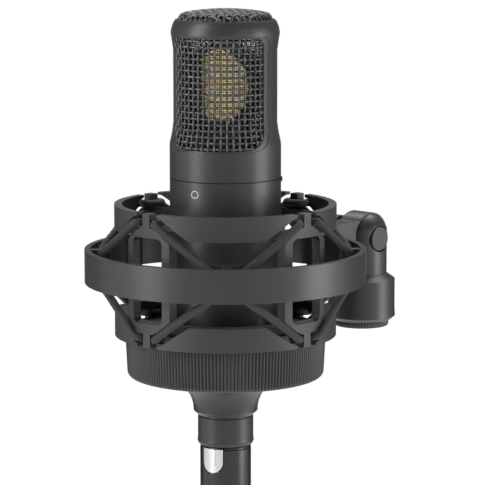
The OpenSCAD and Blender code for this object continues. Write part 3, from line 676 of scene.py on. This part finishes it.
studio = {
    "floorDrop": 0.42, "floorSize": 60.0, "floorColour": 0.50, "floorGlow": 0.96, "world": 0.10,
    # black cards behind the object, seen only in reflections: distance behind, nearest and farthest edge to
    # either side, and height, in metres
    "card": (0.6, 0.2, 1.3, 0.5), "cardColour": 0.02,
    "middle": 80.0,     # the height the lights point at, in mm
    # side angle from the camera and height angle in degrees; distance, width and height in metres; brightness
    "lights": {
        "rightBox": (78, 2, 0.95, 0.42, 0.65, 9.5),
        "leftBox": (-62, 20, 0.95, 0.34, 1.05, 12.5),
        "topBox": (165, 60, 0.95, 0.9, 0.6, 8.0),
        "frontBox": (38, 14, 1.25, 0.5, 0.7, 2.8),
    },
}
# the camera: the angle it stands round to, its distance and height, the point it looks at, and its focal length
shot = {"side": 44.0, "distance": 934.0, "height": 214.1, "aimRight": 6.14, "aimHeight": 73.4, "lens": 194.6}


def lookAt(thing, target):
    thing.rotation_euler = (target - thing.location).to_track_quat("-Z", "Y").to_euler()


def makeStudio():
    s = studio
    half, low = s["floorSize"] / 2, -s["floorDrop"]
    floorMesh = meshOf([(-half, -half, low), (half, -half, low), (half, half, low), (-half, half, low)], [(0, 1, 2, 3)])
    material = bpy.data.materials.new("floor")
    material.use_nodes = True
    material.node_tree.nodes.clear()
    graph = Graph(material.node_tree)
    tone = s["floorColour"]
    shader = graph.node("ShaderNodeBsdfPrincipled", {}, {
        "Base Color": (tone, tone, tone, 1), "Roughness": 0.9, "Specular IOR Level": 0.0,
        "Emission Color": (1, 1, 1, 1), "Emission Strength": s["floorGlow"]})
    graph.node("ShaderNodeOutputMaterial", {}, {"Surface": shader})
    floorMesh.materials.append(material)
    floorPiece = bpy.data.objects.new("floor", floorMesh)
    bpy.context.scene.collection.objects.link(floorPiece)

    black = bpy.data.materials.new("card")
    black.use_nodes = True
    shader = black.node_tree.nodes["Principled BSDF"]
    dark = s["cardColour"]
    shader.inputs["Base Color"].default_value = (dark, dark, dark, 1)
    shader.inputs["Roughness"].default_value = 0.9
    behind, near, far, top = s["card"]
    a = radians(shot["side"])
    away, aside = Vector((-sin(a), cos(a), 0)), Vector((cos(a), sin(a), 0))
    foot = fromRim(0, 0, 0) * Vector((1, 1, 0)) + Vector((0, 0, 0.01 - s["floorDrop"])) + away * behind
    for name, sign in (("leftCard", -1), ("rightCard", 1)):
        corners = [foot + aside * sign * reach + Vector((0, 0, rise))
                   for reach, rise in ((near, 0), (far, 0), (far, top), (near, top))]
        card = bpy.data.objects.new(name, meshOf(corners, [(0, 1, 2, 3)]))
        card.data.materials.append(black)
        bpy.context.scene.collection.objects.link(card)
        card.visible_camera = False

    world = bpy.data.worlds.new("studio")
    bpy.context.scene.world = world
    world.use_nodes = True
    world.node_tree.nodes.clear()
    graph = Graph(world.node_tree)
    sky = graph.node("ShaderNodeBackground", {}, {"Color": (1, 1, 1, 1), "Strength": s["world"]})
    graph.node("ShaderNodeOutputWorld", {}, {"Surface": sky})

    middle = fromRim(0, 0, s["middle"])
    for name, (side, rise, distance, width, height, glow) in s["lights"].items():
        data = bpy.data.lights.new(name, "AREA")
        data.shape, data.size, data.size_y = "RECTANGLE", width, height
        data.energy = glow * pi * width * height
        lamp = bpy.data.objects.new(name, data)
        bpy.context.scene.collection.objects.link(lamp)
        a, e = radians(shot["side"] + side), radians(rise)
        lamp.location = middle + Vector((sin(a) * cos(e), -cos(a) * cos(e), sin(e))) * distance
        lookAt(lamp, middle)
        lamp.visible_camera = False

    data = bpy.data.cameras.new("camera")
    data.lens, data.sensor_width = shot["lens"], 36.0
    data.clip_start, data.clip_end = 0.05, 100
    camera = bpy.data.objects.new("camera", data)
    bpy.context.scene.collection.objects.link(camera)
    a = radians(shot["side"])
    camera.location = fromRim(sin(a) * shot["distance"], -cos(a) * shot["distance"], shot["height"])
    lookAt(camera, fromRim(cos(a) * shot["aimRight"], sin(a) * shot["aimRight"], shot["aimHeight"]))
    bpy.context.scene.camera = camera
    bpy.context.scene.view_settings.view_transform = "Standard"


makeStudio()
print("stage 8: studio")
